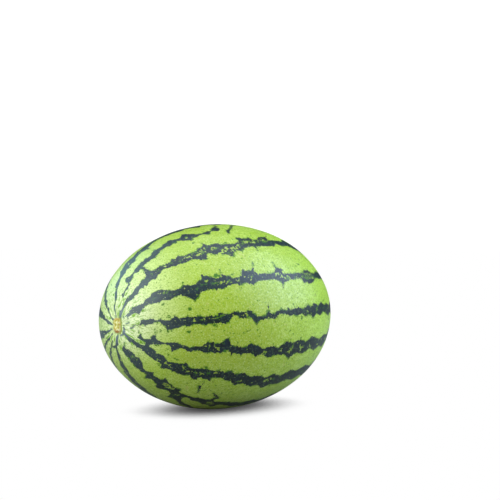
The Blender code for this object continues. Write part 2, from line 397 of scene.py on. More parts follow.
            (0.167, -75), (0.170, -72.5), (0.181, -71.8), (0.186, -73), (0.193, -78.7), (0.196, -75),
            (0.202, -72), (0.209, -71.3), (0.228, -73.2), (0.233, -76), (0.240, -77.5), (0.247, -75.5),
            (0.250, -76), (0.254, -73), (0.262, -71.5), (0.283, -73), (0.300, -72), (0.311, -71),
            (0.314, -68.5), (0.327, -68.5), (0.337, -70.3), (0.347, -69), (0.360, -68.7), (0.366, -70),
            (0.375, -71), (0.389, -70.5), (0.400, -71.5), (0.413, -73.5), (0.409, -69.5), (0.414, -67),
            (0.437, -67), (0.450, -69), (0.460, -70.5), (0.475, -69), (0.500, -71), (0.530, -68),
            (0.560, -69.5), (0.590, -66.5), (0.620, -70), (0.660, -68), (0.690, -72.5), (0.730, -69.5),
            (0.780, -73), (0.820, -71), (0.870, -75), (0.930, -73), (1.000, -76),
        ],
        [
            (0.072, -73), (0.077, -71), (0.081, -69.5), (0.084, -66), (0.089, -62), (0.092, -65),
            (0.096, -61.5), (0.103, -59.8), (0.106, -61), (0.111, -59.8), (0.115, -62), (0.122, -59.5),
            (0.126, -57), (0.131, -59.3), (0.141, -60.3), (0.148, -62.5), (0.155, -66), (0.169, -67.5),
            (0.176, -65.5), (0.181, -63.5), (0.185, -61), (0.191, -63.5), (0.198, -65), (0.210, -64),
            (0.219, -63.5), (0.222, -58), (0.226, -59.5), (0.235, -60), (0.240, -61.8), (0.262, -62.5),
            (0.273, -63), (0.279, -61.3), (0.281, -63.5), (0.284, -66), (0.310, -66), (0.315, -65),
            (0.324, -65.5), (0.341, -63.5), (0.360, -63.3), (0.370, -62.3), (0.374, -60.5), (0.378, -60),
            (0.386, -64), (0.401, -62.8), (0.419, -62), (0.427, -61.3), (0.433, -62.2), (0.442, -62.8),
            (0.452, -61.5), (0.470, -63), (0.500, -60), (0.530, -62.5), (0.550, -60.5), (0.580, -58.5),
            (0.610, -61), (0.650, -59.5), (0.690, -63), (0.720, -60), (0.760, -63.5), (0.800, -61),
            (0.850, -66), (0.900, -64), (0.950, -67), (1.000, -67),
        ],
    ),
    "lower_fork": (
        [
            (0.276, -72.5), (0.283, -76), (0.288, -79), (0.291, -81.5), (0.295, -80), (0.301, -79),
            (0.311, -78.5), (0.319, -79.8), (0.331, -81), (0.342, -83), (0.352, -85.5), (0.362, -84),
            (0.375, -84.5), (0.386, -87), (0.396, -89), (0.420, -90), (0.440, -93), (0.470, -91),
            (0.500, -95), (0.540, -92), (0.580, -94.5), (0.620, -91), (0.660, -93), (0.700, -89),
            (0.740, -89),
        ],
        [
            (0.276, -69), (0.300, -69), (0.311, -71), (0.315, -73), (0.320, -75.5), (0.328, -77.5),
            (0.347, -79.5), (0.357, -79.3), (0.369, -80.5), (0.382, -82), (0.388, -84.5), (0.410, -84),
            (0.440, -87), (0.480, -84.5), (0.520, -87.5), (0.560, -84), (0.600, -86.5), (0.650, -84),
            (0.700, -86), (0.740, -88),
        ],
    ),
    "under": (
        [
            (0.030, -93), (0.036, -99), (0.042, -101.5), (0.050, -104), (0.060, -105.5), (0.068, -106),
            (0.076, -112), (0.082, -118), (0.087, -119), (0.086, -114), (0.081, -107), (0.086, -105.5),
            (0.100, -104.5), (0.115, -105.5),
            (0.130, -104.5), (0.150, -106), (0.165, -104), (0.180, -107), (0.200, -104.5), (0.225, -105.5),
            (0.250, -103), (0.270, -105), (0.300, -103.5), (0.320, -106), (0.350, -104), (0.380, -108),
            (0.410, -106), (0.450, -110.5), (0.490, -109), (0.530, -113), (0.570, -110), (0.610, -113.5),
            (0.660, -110), (0.700, -112), (0.740, -108), (0.800, -111), (0.850, -108), (0.900, -110),
            (0.950, -107), (1.000, -107),
        ],
        [
            (0.030, -82), (0.036, -85), (0.043, -88.5), (0.048, -90.5), (0.064, -91), (0.067, -94),
            (0.070, -98.5), (0.080, -99.5), (0.090, -98.5), (0.100, -96.5), (0.115, -96.5),
            (0.140, -96.5), (0.160, -94.5), (0.175, -97), (0.200, -94.5), (0.220, -96), (0.245, -93),
            (0.260, -95.5), (0.290, -94), (0.310, -97), (0.340, -95), (0.370, -99), (0.410, -98),
            (0.440, -102), (0.480, -100.5), (0.520, -105), (0.560, -102), (0.600, -105), (0.650, -102.5),
            (0.700, -103.5), (0.740, -98.5), (0.790, -101), (0.840, -98), (0.890, -101.5), (0.940, -99),
            (1.000, -97),
        ],
    ),
}

# On the far side the stripes follow these courses, and their lobes and cusps are drawn
# at random: (share along, lower degrees, upper degrees).
FAR_COURSES = {
    "under_back": [
        (0.06, -123, -117.5), (0.075, -124, -118), (0.088, -124, -120), (0.13, -129, -123),
        (0.20, -128, -122), (0.28, -133, -127), (0.38, -136, -129), (0.50, -135, -127),
        (0.62, -132, -126), (0.75, -136, -129), (0.88, -134, -127), (1.00, -132, -125),
    ],
    "back_lowest": [
        (0.038, -134, -129), (0.050, -136, -131), (0.058, -134.5, -133), (0.065, -139, -131),
        (0.08, -141, -136), (0.10, -143, -138), (0.15, -146, -141), (0.20, -147, -144),
        (0.27, -152, -148), (0.34, -156, -153),
    ],
    "back_low": [
        (0.030, -161, -149), (0.042, -157, -150), (0.060, -159.5, -150), (0.070, -160.5, -153.5),
        (0.08, -162.5, -153.5), (0.10, -165, -152), (0.16, -169, -157), (0.22, -173, -164),
        (0.33, -177, -169), (0.42, -171, -164), (0.52, -167, -159), (0.64, -171, -163),
        (0.76, -167, -159), (0.88, -165, -158), (1.00, -164, -156),
    ],
    "back": [
        (0.024, 174, 181), (0.032, 166, 181), (0.040, 162.5, 180), (0.052, 163, 179),
        (0.060, 165, 173), (0.070, 164.5, 171.5), (0.076, 161.5, 171), (0.10, 160, 171.5),
        (0.15, 161, 174), (0.24, 161, 169), (0.35, 157, 164), (0.47, 159, 166),
        (0.58, 155, 162), (0.69, 158, 166), (0.82, 161, 168), (1.00, 160, 168),
    ],
    "back_upper": [
        (0.025, 130, 147), (0.04, 139, 147), (0.05, 137, 142), (0.06, 135, 140),
        (0.07, 133, 141), (0.08, 136, 142), (0.10, 136, 144), (0.16, 137, 144),
        (0.25, 132, 140), (0.34, 126, 134), (0.44, 122, 129), (0.55, 125, 132),
        (0.66, 121, 129), (0.78, 125, 133), (0.90, 128, 135), (1.00, 130, 138),
    ],
}

# Thin curls and twigs of the dark skin: a route, and the width in millimetres where it
# begins. They taper to under half of it.
TWIGS = [
    ([(0.445, 67.5), (0.453, 70.5), (0.465, 71.5), (0.476, 73.5), (0.502, 79.5), (0.530, 83)], 3.4),
    ([(0.423, 33.5), (0.435, 38.5)], 1.6),
    ([(0.495, 33), (0.494, 37)], 1.8),
    ([(0.498, 33), (0.520, 32)], 2.0),
    ([(0.500, 23), (0.496, 20.5)], 1.6),
    ([(0.541, 60), (0.552, 62)], 1.4),
    ([(0.475, 51), (0.470, 46.5)], 1.6),
    ([(0.044, 10.5), (0.057, 13.5)], 2.0),
    ([(0.061, -6.5), (0.066, -3.5), (0.073, 2)], 2.4),
    ([(0.096, 4), (0.085, 3), (0.071, 2.8)], 1.2),
    ([(0.041, 44), (0.041, 36)], 2.2),
    ([(0.025, 54), (0.022, 40), (0.023, 26)], 2.8),
    ([(0.037, -36), (0.034, -20), (0.031, -2)], 5.0),
    ([(0.037, -36), (0.037, -50), (0.034, -66)], 4.6),
    ([(0.088, 3.5), (0.088, -2)], 1.8),
    ([(0.089, -12), (0.090, -15)], 1.6),
    ([(0.072, -70), (0.060, -63)], 1.6),
    ([(0.056, 34), (0.055, 25)], 2.4),
    ([(0.309, -51), (0.314, -53), (0.319, -55.5), (0.320, -58.5)], 3.0),
    ([(0.377, -61), (0.382, -58.5), (0.373, -56.5), (0.360, -54.5)], 4.6),
    ([(0.310, -45), (0.313, -48)], 1.2),
    ([(0.456, 82.5), (0.451, 79.5), (0.443, 78.5)], 3.4),
]

# Windows inside the stripes, and green patches over the stripes and the ground: (share
# along, degrees around, half length along and half width around in millimetres, turn).
WINDOWS = [
    (0.178, 37.5, 2.6, 0.8, -45), (0.190, 36, 1.8, 0.9, -50), (0.296, 33, 2.0, 1.3, 60),
    (0.3265, 29.2, 3.4, 1.0, -8), (0.349, 28.8, 1.3, 0.6, 0), (0.371, 28.2, 1.6, 0.6, 0),
    (0.402, 29.6, 1.3, 0.7, 0), (0.413, 29, 2.2, 0.7, 55), (0.4936, 29, 2.4, 0.9, 0),
    (0.502, 27.3, 1.0, 0.5, 0), (0.5196, 26.7, 4.6, 1.5, 0), (0.555, 26.8, 2.0, 0.6, 0),
    (0.602, 27.3, 7.0, 1.7, -3), (0.6355, 27.9, 3.6, 1.2, 10), (0.615, 30.2, 4.5, 0.5, 3),
    (0.190, 64.5, 2.0, 1.0, 60), (0.230, 61.7, 1.4, 0.8, -45), (0.279, 58.4, 1.6, 0.9, 0),
    (0.291, 58, 1.5, 0.8, -30), (0.305, 57.5, 2.2, 1.0, 55), (0.324, 56.2, 4.0, 1.9, 10),
    (0.332, 58, 2.2, 1.2, 30), (0.342, 57.6, 2.2, 1.0, 70), (0.365, 56.3, 2.5, 1.4, 0),
    (0.397, 54, 1.4, 0.8, 0), (0.3845, 51.8, 4.2, 1.9, 20), (0.408, 51.6, 3.6, 1.3, 35),
    (0.421, 52, 3.0, 1.0, 35), (0.433, 53, 2.6, 0.8, 35), (0.444, 54.4, 2.2, 0.8, 30),
    (0.4625, 55.8, 4.8, 1.9, -3), (0.490, 55.4, 4.2, 1.4, 8), (0.5225, 56.4, 4.6, 1.5, 5),
    (0.262, 4.5, 1.6, 0.8, 0), (0.241, 4.8, 1.2, 0.9, 0), (0.3065, 5.8, 2.6, 0.8, 10),
    (0.368, 6, 1.6, 0.6, 0), (0.379, 5, 1.5, 0.8, 0), (0.2823, -16, 1.6, 0.6, 10),
    (0.3065, -17, 2.4, 0.8, -35), (0.171, -42.6, 1.8, 1.8, 0), (0.184, -44, 0.9, 0.9, 0),
    (0.193, -42.4, 2.0, 2.0, 30), (0.206, -42, 1.7, 1.2, 20), (0.2425, -38.3, 2.0, 1.6, -40),
    (0.256, -40.4, 2.4, 0.5, 10), (0.2775, -39.5, 1.5, 2.0, 0), (0.2895, -39.4, 1.4, 1.8, -20),
    (0.323, -35.6, 1.3, 1.2, 0), (0.2495, -66, 7.2, 4.2, 0), (0.127, -64.5, 1.2, 2.0, 0),
    (0.1117, -69.5, 1.0, 1.9, 0), (0.293, -70, 1.4, 2.6, -20), (0.386, -67.4, 4.8, 2.6, -12),
    (0.262, 103.5, 2.0, 1.0, 30), (0.215, 106.5, 2.2, 1.0, 40), (0.345, 78, 1.6, 1.0, 0),
]
GREEN_PATCHES = [
    (0.0745, 71.5, 2.4, 5.0, 0), (0.099, 69.5, 1.6, 2.6, 0), (0.160, 68.4, 2.6, 1.2, 0),
    (0.103, 77, 2.6, 3.2, 0), (0.084, 91, 2.2, 3.0, -30), (0.085, 78.5, 1.2, 4.0, 0),
    (0.147, 58, 1.0, 1.6, 0), (0.138, 60.5, 1.4, 1.0, 0), (0.130, 42.4, 0.9, 1.5, 0),
    (0.080, 26.8, 3.6, 5.6, 0), (0.1105, 27.4, 2.8, 3.0, 0), (0.153, 36, 3.0, 1.9, 0),
    (0.170, 25, 2.8, 1.6, 25), (0.1815, 44.5, 1.0, 1.8, 0), (0.2385, 38, 0.9, 1.5, 0),
    (0.197, 32.5, 1.8, 1.4, 0), (0.215, 32, 2.6, 1.4, -20), (0.265, 29.2, 1.6, 1.8, 0),
    (0.2825, 31, 3.4, 0.8, 0), (0.312, 29.8, 5.0, 1.3, -15), (0.325, 35, 4.2, 2.6, 0),
    (0.366, 33.2, 1.5, 0.7, 20), (0.373, 22.5, 1.1, 1.5, 0), (0.338, 68.3, 1.5, 1.2, 0),
    (0.404, 58, 2.8, 1.3, 10), (0.2675, 57.6, 2.4, 1.2, 0), (0.245, 61, 3.0, 1.2, 0),
    (0.320, 59, 3.4, 1.4, 0), (0.3535, 59.2, 1.4, 1.8, 0), (0.372, 55.5, 4.0, 1.6, 0),
    (0.2075, 62.5, 1.5, 1.0, 0), (0.169, 62.5, 1.6, 1.0, 0), (0.390, 49.3, 2.2, 0.9, 0),
    (0.520, 54.6, 5.4, 2.2, 0), (0.667, 29, 5.4, 0.9, 8), (0.086, 8.2, 1.8, 3.4, 0),
    (0.144, 4.6, 1.4, 2.0, 0), (0.155, 2.7, 0.9, 1.6, 0), (0.1725, -6.6, 1.4, 3.4, 0),
    (0.182, -5, 1.5, 1.5, 0), (0.152, -5.8, 1.4, 3.6, 0), (0.143, -8, 0.8, 1.5, 0),
    (0.137, -8.8, 1.1, 1.1, 0), (0.137, -3.4, 0.7, 2.2, 0), (0.2265, -5.2, 2.6, 2.2, 25),
    (0.2345, 14.6, 1.3, 1.8, 0), (0.1765, 10, 3.0, 2.8, 0), (0.2935, 0, 2.5, 2.2, 0),
    (0.340, -6.6, 0.7, 1.1, 0), (0.376, -4.8, 2.0, 0.5, 25), (0.355, -12.4, 0.6, 1.3, 0),
    (0.108, -28.3, 4.2, 3.6, 0), (0.0755, -29.5, 1.8, 3.0, 0), (0.095, -31.5, 6.0, 2.0, 0),
    (0.1515, -25, 2.2, 2.4, 0), (0.182, -25.4, 1.6, 1.9, 0), (0.189, -31.6, 1.2, 2.4, 25),
    (0.2115, -33.4, 3.2, 1.1, -5), (0.0565, -45, 1.7, 5.0, 0), (0.0835, -45.5, 1.6, 5.0, 0),
    (0.0995, -45.5, 0.9, 2.6, 0), (0.181, -48, 2.6, 2.2, -25), (0.156, -38.5, 1.2, 1.8, 0),
    (0.3074, -37.2, 2.8, 1.5, -15), (0.328, -18, 2.8, 1.4, 0), (0.3195, -12.8, 1.4, 1.2, 0),
    (0.2946, -32.8, 3.0, 1.8, 0), (0.3036, -45, 0.8, 3.0, 30), (0.333, -43.3, 0.7, 1.1, 25),
    (0.2755, -51.7, 0.8, 1.6, 15), (0.379, -53, 0.9, 0.9, 0), (0.113, -65.5, 2.8, 3.6, 0),
    (0.115, -77.5, 2.6, 4.4, 0), (0.141, -77, 4.6, 2.0, 0), (0.067, -67, 2.0, 5.0, 0),
    (0.2895, -73.8, 1.8, 1.8, -30), (0.275, -76, 0.9, 1.8, 0), (0.412, -64.8, 2.4, 0.8, -10),
    (0.105, 113.5, 1.6, 3.4, 0), (0.119, 108.5, 2.2, 2.2, 0), (0.1555, 83.6, 2.4, 1.4, 0),
    (0.1395, 85.5, 1.2, 2.6, 0), (0.266, 87.6, 1.2, 2.0, 0), (0.0665, 85, 1.0, 4.4, 0),
    (0.313, 79.3, 2.4, 1.6, 0), (0.352, 79, 2.0, 1.4, 0), (0.398, 71.4, 2.0, 1.0, 0),
    (0.053, -47, 2.6, 8.0, 0), (0.081, -46, 3.6, 6.0, 0), (0.068, -30, 7.0, 3.0, 0),
    (0.0985, -31, 6.0, 3.6, 0), (0.072, -143.5, 10.0, 3.4, -31), (0.055, -126, 4.5, 6.0, -40),
    (0.053, -111, 5.0, 4.0, -50), (0.053, -83, 2.6, 7.0, 0), (0.072, -86, 3.0, 6.0, 0),
    (0.040, 80, 5.0, 10.0, 0), (0.047, 52, 2.6, 5.0, 0), (0.055, 58.5, 3.0, 2.4, 0),
    (0.043, 152, 2.2, 8.0, 0), (0.065, 85, 3.0, 6.0, 30), (0.085, 7.5, 3.0, 4.6, 0),
]

ALONG_MM = 1000 * math.pi * HALF_LENGTH  # millimetres for the whole share along
AROUND_MM = 1000 * RADIUS * math.pi / 180  # millimetres for one degree, round the middle
FARTHEST_MM = 12.0  # distances beyond this make no difference
TWIG_TAPER = 0.6  # share of its width that a twig loses along its route
CUSP_REACH = (0.4, 3.0)  # degrees that a random cusp stands out
CUSP_SPACING = (0.014, 0.036)  # share along from one random cusp to the next


def degrees_apart(first, second):
    return (first - second + 180) % 360 - 180


def cusped_edge(course, column, outward, draw):
    """A course's lower or upper edge, with cusps and with hollows between them."""
    shares = [row[0] for row in course]
    degrees = [row[column] for row in course]
    points = []
    share = shares[0]
    while share < shares[-1]:
        spacing = draw.uniform(*CUSP_SPACING)
        cusp = draw.uniform(*CUSP_REACH)
        for step, stand_out in ((0.0, cusp), (0.25, 0.1), (0.55, -0.9), (0.85, 0.0)):
            place = min(share + step * spacing, shares[-1])
            points.append((place, np.interp(place, shares, degrees) + outward * stand_out))
        share += spacing
    return points


def outline_distance(outline, along, around):
    """Millimetres from a closed outline, less than 0 inside it."""
    corners = np.array(outline, float)
    middle = corners[:, 1].mean()
    corners = (corners - (0.0, middle)) * (ALONG_MM, AROUND_MM)
    y = degrees_apart(around, middle) * AROUND_MM
    beside = np.abs(y) < np.abs(corners[:, 1]).max() + FARTHEST_MM
    x = along[beside] * ALONG_MM
    y = y[beside]
    nearest = np.full(len(x), FARTHEST_MM**2)
    inside = np.zeros(len(x), bool)
    for (start_x, start_y), (end_x, end_y) in zip(corners, np.roll(corners, -1, axis=0)):
        run = end_x - start_x
        rise = end_y - start_y
        share = ((x - start_x) * run + (y - start_y) * rise) / (run**2 + rise**2)
        share = np.clip(share, 0.0, 1.0)
        gap = (x - start_x - share * run) ** 2 + (y - start_y - share * rise) ** 2
        nearest = np.minimum(nearest, gap)
        if rise:
            crosses = (start_y > y) != (end_y > y)
            inside ^= crosses & (x < start_x + run * (y - start_y) / rise)
    distance = np.full(len(along), FARTHEST_MM)
    distance[beside] = np.sqrt(nearest) * np.where(inside, -1.0, 1.0)
    return distance


def twig_distance(route, width, along, around):
    """Millimetres from the side of a tapering twig, less than 0 inside it."""
    nearest = np.full(len(along), FARTHEST_MM)
    length = len(route) - 1
    for step, (start, end) in enumerate(zip(route, route[1:])):
        around_mm = AROUND_MM * math.sin(math.pi * start[0])
        run = (end[0] - start[0]) * ALONG_MM
        rise = (end[1] - start[1]) * around_mm
        x = (along - start[0]) * ALONG_MM
        y = degrees_apart(around, start[1]) * around_mm
        share = np.clip((x * run + y * rise) / (run**2 + rise**2), 0.0, 1.0)
        half_width = width / 2 * (1.0 - TWIG_TAPER * (step + share) / length)
        nearest = np.minimum(nearest, np.hypot(x - share * run, y - share * rise) - half_width)
    return nearest


def oval_distance(ovals, along, around):
    """About the millimetres from the nearest oval's edge, less than 0 inside it."""
    nearest = np.full(len(along), FARTHEST_MM)
    for share, degrees, half_length, half_width, turn in ovals:
        x = (along - share) * ALONG_MM
        y = degrees_apart(around, degrees) * AROUND_MM
        beside = np.abs(x) + np.abs(y) < half_length + half_width + FARTHEST_MM
        x, y = x[beside], y[beside]
        lengthwise = x * math.cos(math.radians(turn)) + y * math.sin(math.radians(turn))
        crosswise = y * math.cos(math.radians(turn)) - x * math.sin(math.radians(turn))
        spread = np.hypot(lengthwise / half_length, crosswise / half_width)
        gap = (spread - 1.0) * min(half_length, half_width)
        nearest[beside] = np.minimum(nearest[beside], gap)
    return nearest


outlines = [lower + upper[::-1] for lower, upper in STRIPES.values()]
draw = np.random.default_rng(11)
for course in FAR_COURSES.values():
    lower = cusped_edge(course, 1, -1.0, draw)
    upper = cusped_edge(course, 2, 1.0, draw)
    outlines.append(lower + upper[::-1])

# Elsewhere windows and patches are scattered along the stripes: from this share along
# to that, between these degrees. More patches lie anywhere on the plain ground.
FURTHER_SPANS = [
    (0.54, 0.95, 3, 8), (0.42, 0.95, -20, -15), (0.38, 0.95, -43, -36), (0.47, 0.95, -70, -63),
    (0.42, 0.72, -90, -87), (0.06, 0.95, -104, -97), (0.72, 0.95, 33, 39), (0.67, 0.95, 55, 62),
    (0.50, 0.95, 88, 94),
]
WINDOW_CHANCE = 0.6
OVAL_SPACING = (0.015, 0.055)  # share along from one to the next
EDGE_DEGREES = 1.2  # kept clear at each edge of a stripe
GROUND_PATCHES = 160
SET_SHARE = 0.5  # up to here, between the next two, the patches are those set above
SET_FROM = -85
SET_TO = 108

windows = list(WINDOWS)
green_patches = list(GREEN_PATCHES)
spans = list(FURTHER_SPANS)
for course in FAR_COURSES.values():
    for start, end in zip(course, course[1:]):
        spans.append((start[0], end[0], start[1], start[2]))
for start, end, lower, upper in spans:
    share = start + draw.uniform(0.0, 0.03)
    while share < end:
        degrees = draw.uniform(lower + EDGE_DEGREES, upper - EDGE_DEGREES)
        half_width = draw.uniform(0.6, 1.7)
        half_length = draw.uniform(1.0, 3.2) * half_width
        oval = (share, degrees, half_length, half_width, draw.uniform(-40, 40))
        if draw.random() < WINDOW_CHANCE:
            windows.append(oval)
        else:
            green_patches.append(oval)
        share += draw.uniform(*OVAL_SPACING)
for _ in range(GROUND_PATCHES):
    share = draw.uniform(0.06, 0.94)
    degrees = draw.uniform(-180, 180)
    half_length = draw.uniform(0.6, 2.6)
    half_width = draw.uniform(0.6, 2.2)
    if share > SET_SHARE or not SET_FROM < degrees < SET_TO:
        green_patches.append((share, degrees, half_length, half_width, 0))

# Near the stem, the share along is counted from the scar's own middle.
along = along_angle + np.arcsin(scar_radius.clip(0.0, RADIUS) / RADIUS)
along = (along - np.arcsin(radius.clip(0.0, RADIUS) / RADIUS)) / math.pi
around_degrees = np.degrees(scar_around)
from_dark = np.minimum.reduce(
    [outline_distance(outline, along, around_degrees) for outline in outlines]
    + [twig_distance(route, width, along, around_degrees) for route, width in TWIGS]
)
for name, values in (
    ("from_dark", from_dark),
    ("from_window", oval_distance(windows, along, around_degrees)),
    ("from_green", oval_distance(green_patches, along, around_degrees)),
    ("scar_share", scar_share),
):
    layer = rind.data.attributes.new(name, "FLOAT", "POINT")
    layer.data.foreach_set("value", values)


# ---------------------------------------------------------------- the rind's skin
# A thin waxy skin, smooth to the touch: pale yellow-green ground with fine mottling,
# dark teal stripes with feathered edges under a grey wax bloom near the stem, and dry
# cork on the two scars. Painted light and shade lie on the ground, on the stripes as a
# painted sheen and reflection, and as a painted shade at the stem scar's rim.

skin = bpy.data.materials.new("waxy_striped_skin")
skin.use_nodes = True
tree = skin.node_tree
shader = tree.nodes["Principled BSDF"]


def put(node, inputs):
    for name, value in inputs.items():
        socket = node.inputs[name]
        if isinstance(value, bpy.types.NodeSocket):
            tree.links.new(value, socket)
        else:
            socket.default_value = value


def calculate(operation, *values):
    node = tree.nodes.new("ShaderNodeMath")
    node.operation = operation
    put(node, dict(enumerate(values)))
    return node.outputs[0]


def product(first, *others):
    for other in others:
        first = calculate("MULTIPLY", first, other)
    return first


def fade(value, start, end, low=0.0, high=1.0):
    """low at start, high at end, and a smooth change between."""
    node = tree.nodes.new("ShaderNodeMapRange")
    node.interpolation_type = "SMOOTHSTEP"
    put(node, {"Value": value, "From Min": start, "From Max": end, "To Min": low, "To Max": high})
    return node.outputs["Result"]


def blend_color(share, first, second):
    """The first colour where the share is 0, the second where it is 1."""
    node = tree.nodes.new("ShaderNodeMix")
    node.data_type = "RGBA"
    put(node, {0: share, 6: first, 7: second})
    return node.outputs[2]


def noise(vector, size, detail=2.0, roughness=0.5, dimensions="3D"):
    """Smooth random values, 0 to 1, with swells about this many metres across."""
    node = tree.nodes.new("ShaderNodeTexNoise")
    node.noise_dimensions = dimensions
    put(node, {"Vector": vector, "Scale": 1 / size, "Detail": detail, "Roughness": roughness})
    return node.outputs["Fac"]


def attribute(name):
    node = tree.nodes.new("ShaderNodeAttribute")
    node.attribute_name = name
    return node.outputs["Fac"]


def jittered(distance, *jitters):
    """A distance, moved to and fro by each pair of random values and how far they reach."""
    for values, reach in jitters:
        shift = product(calculate("SUBTRACT", values, 0.5), reach)
        distance = calculate("ADD", distance, shift)
    return distance


# Where a point lies on the fruit: along from the stem end, around from the front.
# The around angle jumps behind the underside, in the middle of a plain band.
JUMP = math.radians(-117)
place = tree.nodes.new("ShaderNodeTexCoord").outputs["Object"]
split = tree.nodes.new("ShaderNodeSeparateXYZ")
put(split, {"Vector": place})
frontward = product(split.outputs["Y"], -1.0)
upward = calculate("SUBTRACT", split.outputs["Z"], AXIS_HEIGHT)
turn = JUMP - math.pi
turned_frontward = calculate(
    "ADD",
    product(frontward, math.cos(turn)),
    product(upward, math.sin(turn)),
)
turned_upward = calculate(
    "SUBTRACT",
    product(upward, math.cos(turn)),
    product(frontward, math.sin(turn)),
)
around_angle = calculate("ARCTAN2", turned_upward, turned_frontward)
along_share = calculate("DIVIDE", split.outputs["X"], -HALF_LENGTH)
along_share = calculate("MINIMUM", calculate("MAXIMUM", along_share, -1.0), 1.0)
along_share = calculate("DIVIDE", calculate("ARCCOSINE", along_share), math.pi)
pattern = tree.nodes.new("ShaderNodeCombineXYZ")
put(
    pattern,
    {
        "X": product(along_share, math.pi * HALF_LENGTH),
        "Y": product(around_angle, RADIUS),
    },
)
pattern = pattern.outputs["Vector"]
grain_across = tree.nodes.new("ShaderNodeMapping")
put(grain_across, {"Vector": pattern, "Scale": (1.0, 0.62, 1.0)})
grain_across = grain_across.outputs["Vector"]

# The ground: pale and deep yellow-green clouds, a painted olive shade on the shoulder
# and painted light as a brighter, vivid green beyond it, fine mottling, green speckles
# and flecks, a paler skin near the stem that is painted lighter higher up, and a painted
# milky highlight by the stem.
GROUND_LIGHT = (0.515, 0.665, 0.135, 1.0)
GROUND_DEEP = (0.370, 0.530, 0.032, 1.0)
GROUND_MOTTLE = (0.640, 0.760, 0.300, 1.0)
GROUND_PALE_PAINTED_LIGHT = (0.700, 0.780, 0.400, 1.0)
GROUND_MILKY_PAINTED_HIGHLIGHT = (0.800, 0.850, 0.620, 1.0)
PAINTED_SHADE_OLIVE = (0.320, 0.405, 0.022, 1.0)
PAINTED_LIGHT_VIVID = (0.480, 0.780, 0.060, 1.0)
GROUND_TAN = (0.560, 0.500, 0.170, 1.0)
SPECKLE_GREEN = (0.200, 0.370, 0.010, 1.0)
FLECK_GREEN = (0.085, 0.230, 0.004, 1.0)
lengthwise = tree.nodes.new("ShaderNodeMapping")
put(lengthwise, {"Vector": pattern, "Scale": (0.60, 1.0, 1.0)})
lengthwise = lengthwise.outputs["Vector"]
mottle = noise(pattern, 0.0017, roughness=0.6, dimensions="2D")
blotches = noise(lengthwise, 0.0055, detail=3.0, roughness=0.55, dimensions="2D")
clouds = noise(place, 0.026)
ground = blend_color(fade(blotches, 0.36, 0.62, 0.0, 0.85), GROUND_LIGHT, GROUND_DEEP)
ground = blend_color(fade(clouds, 0.42, 0.66, 0.0, 0.55), ground, GROUND_DEEP)
# Painted shade: the ground is painted olive on the shoulder, most a little below the axis, less on the top
# and least underneath.
painted_shoulder_shade = product(
    fade(along_share, 0.16, 0.26),
    fade(along_share, 0.53, 0.39),
    fade(upward, 0.060, -0.020, 0.45, 0.72),
    fade(upward, -0.028, -0.056, 1.0, 0.30),
)
ground = blend_color(painted_shoulder_shade, ground, PAINTED_SHADE_OLIVE)
# Painted light: the ground is painted a brighter, more vivid green towards the blossom end.
ground = blend_color(fade(along_share, 0.52, 0.66, 0.0, 0.40), ground, PAINTED_LIGHT_VIVID)
ground = blend_color(fade(mottle, 0.52, 0.70, 0.0, 0.50), ground, GROUND_MOTTLE)
ground = blend_color(fade(mottle, 0.46, 0.30, 0.0, 0.80), ground, GROUND_DEEP)
# Partly the skin's paler colour near the stem, partly painted light: the pale ground reaches farther along
# and is stronger higher up.
PAINTED_LIGHT_LEAN = 0.8  # share along that the pale skin reaches farther, for a metre higher
leaning_share = calculate("SUBTRACT", along_share, product(upward, PAINTED_LIGHT_LEAN))
pale_and_painted_light = product(fade(leaning_share, 0.25, 0.06), fade(upward, -0.075, 0.010, 0.35, 0.85))
ground = blend_color(pale_and_painted_light, ground, GROUND_PALE_PAINTED_LIGHT)
# Painted highlight: a milky whitening of the ground by the stem, strongest on its upper front.
painted_milky_highlight = product(
    fade(along_share, 0.170, 0.040),
    fade(upward, -0.040, 0.0, 0.15, 0.80),
    fade(frontward, -0.030, 0.015, 0.20, 1.0),
)
ground = blend_color(painted_milky_highlight, ground, GROUND_MILKY_PAINTED_HIGHLIGHT)
tan_marks = fade(noise(place, 0.0075, detail=3.0), 0.64, 0.74, 0.0, 0.45)
ground = blend_color(tan_marks, ground, GROUND_TAN)
speckles = noise(pattern, 0.0023, detail=1.0, dimensions="2D")
ground = blend_color(fade(speckles, 0.55, 0.68, 0.0, 0.60), ground, SPECKLE_GREEN)
fleck_noise = noise(pattern, 0.0032, detail=1.5, roughness=0.6, dimensions="2D")
fleck_patches = fade(noise(place, 0.018, detail=1.0), 0.42, 0.60, -0.020, 0.030)
flecks = fade(calculate("ADD", fleck_noise, fleck_patches), 0.700, 0.740, 0.0, 0.85)
ground = blend_color(flecks, ground, FLECK_GREEN)

# Where the skin is dark: the stripes' edges are jittered, and their windows are the
# peaks of a noise that the drawn windows raise.
broad = noise(pattern, 0.0070, dimensions="2D")
teeth = noise(grain_across, 0.0024, dimensions="2D")
frill = noise(pattern, 0.0016, dimensions="2D")
edge = jittered(attribute("from_dark"), (broad, 2.4), (teeth, 3.6), (frill, 2.0))
dark = fade(edge, 0.35, -0.35)
openings = noise(pattern, 0.0027, detail=1.0, dimensions="2D")
openings = calculate("ADD", openings, fade(attribute("from_window"), 2.2, -0.6, 0.0, 0.32))
dark = product(dark, fade(openings, 0.79, 0.71, 0.15, 1.0))

